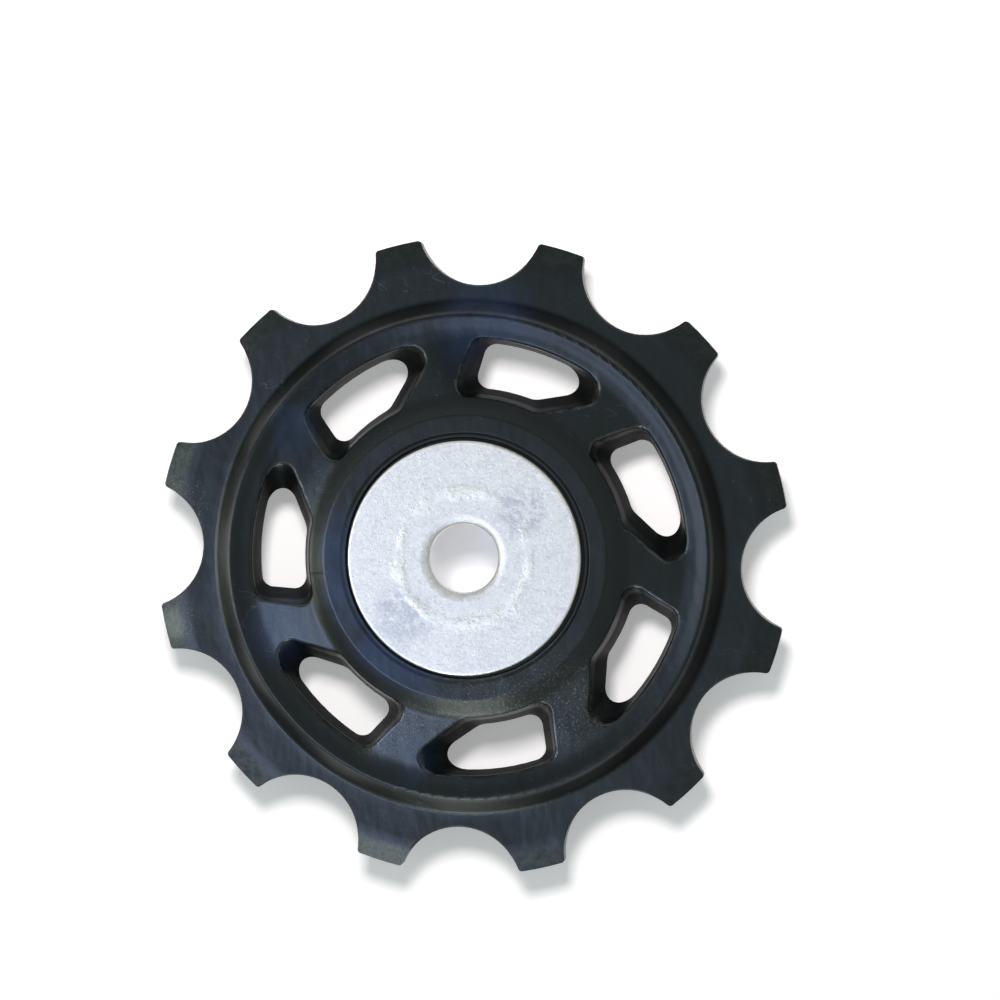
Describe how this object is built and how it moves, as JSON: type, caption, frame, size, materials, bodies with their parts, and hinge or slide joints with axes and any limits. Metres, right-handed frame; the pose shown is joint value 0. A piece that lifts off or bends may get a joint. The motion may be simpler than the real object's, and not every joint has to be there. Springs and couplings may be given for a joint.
{
  "type": "derailleur jockey wheel",
  "caption": "Small toothed guide pulley of moulded plastic with windows in its web, turning on a sealed ball bearing between two metal dust caps.",
  "frame": {"origin": "middle of the axle hole, halfway between the two cap faces", "axes": "+Z along the wheel's axis, out of the front cap; a tooth points along +X"},
  "size_m": [0.0481, 0.048, 0.008],
  "materials": {
    "wheel_plastic": "satin moulded",
    "cap_metal": "matt, fine mottled",
    "race_steel": "ground",
    "ball_steel": "polished",
    "cage_steel": "pressed",
    "shield_steel": "pressed",
    "spring_steel": "plain"
  },
  "bodies": {
    "axle_core": {"front_cap": "cap_metal", "rear_cap": "cap_metal", "inner_race": "race_steel"},
    "wheel": {"toothed_wheel": "wheel_plastic", "outer_race": "race_steel", "front_shield": "shield_steel", "rear_shield": "shield_steel", "front_snap_ring": "spring_steel", "rear_snap_ring": "spring_steel"},
    "cage": {"cage_front_half": "cage_steel", "cage_rear_half": "cage_steel"},
    "ball_body_1": {"ball_1": "ball_steel"},
    "ball_body_2": {"ball_2": "ball_steel"},
    "ball_body_3": {"ball_3": "ball_steel"},
    "ball_body_4": {"ball_4": "ball_steel"},
    "ball_body_5": {"ball_5": "ball_steel"},
    "ball_body_6": {"ball_6": "ball_steel"},
    "ball_body_7": {"ball_7": "ball_steel"},
    "ball_body_8": {"ball_8": "ball_steel"},
    "ball_body_9": {"ball_9": "ball_steel"}
  },
  "joints": [
    {"name": "wheel_spin", "type": "hinge", "parent": "axle_core", "child": "wheel", "pos_m": [0, 0, 0], "axis": [0, 0, 1], "continuous": true},
    {"name": "cage_orbit", "type": "hinge", "parent": "axle_core", "child": "cage", "pos_m": [0, 0, 0], "axis": [0, 0, 1], "continuous": true},
    {"name": "ball_1_roll", "type": "hinge", "parent": "cage", "child": "ball_body_1", "pos_m": [0.00525, 0, 0], "axis": [0, 0, 1], "continuous": true},
    {"name": "ball_2_roll", "type": "hinge", "parent": "cage", "child": "ball_body_2", "pos_m": [0.00402, 0.00337, 0], "axis": [0, 0, 1], "continuous": true},
    {"name": "ball_3_roll", "type": "hinge", "parent": "cage", "child": "ball_body_3", "pos_m": [0.00091, 0.00517, 0], "axis": [0, 0, 1], "continuous": true},
    {"name": "ball_4_roll", "type": "hinge", "parent": "cage", "child": "ball_body_4", "pos_m": [-0.00263, 0.00455, 0], "axis": [0, 0, 1], "continuous": true},
    {"name": "ball_5_roll", "type": "hinge", "parent": "cage", "child": "ball_body_5", "pos_m": [-0.00493, 0.0018, 0], "axis": [0, 0, 1], "continuous": true},
    {"name": "ball_6_roll", "type": "hinge", "parent": "cage", "child": "ball_body_6", "pos_m": [-0.00493, -0.0018, 0], "axis": [0, 0, 1], "continuous": true},
    {"name": "ball_7_roll", "type": "hinge", "parent": "cage", "child": "ball_body_7", "pos_m": [-0.00263, -0.00455, 0], "axis": [0, 0, 1], "continuous": true},
    {"name": "ball_8_roll", "type": "hinge", "parent": "cage", "child": "ball_body_8", "pos_m": [0.00091, -0.00517, 0], "axis": [0, 0, 1], "continuous": true},
    {"name": "ball_9_roll", "type": "hinge", "parent": "cage", "child": "ball_body_9", "pos_m": [0.00402, -0.00337, 0], "axis": [0, 0, 1], "continuous": true}
  ],
  "couplings": [
    {"joint": "cage_orbit", "follows": "wheel_spin", "ratio": 0.59524},
    {"joint": "ball_1_roll", "follows": "wheel_spin", "ratio": 2.5298},
    {"joint": "ball_2_roll", "follows": "wheel_spin", "ratio": 2.5298},
    {"joint": "ball_3_roll", "follows": "wheel_spin", "ratio": 2.5298},
    {"joint": "ball_4_roll", "follows": "wheel_spin", "ratio": 2.5298},
    {"joint": "ball_5_roll", "follows": "wheel_spin", "ratio": 2.5298},
    {"joint": "ball_6_roll", "follows": "wheel_spin", "ratio": 2.5298},
    {"joint": "ball_7_roll", "follows": "wheel_spin", "ratio": 2.5298},
    {"joint": "ball_8_roll", "follows": "wheel_spin", "ratio": 2.5298},
    {"joint": "ball_9_roll", "follows": "wheel_spin", "ratio": 2.5298}
  ]
}
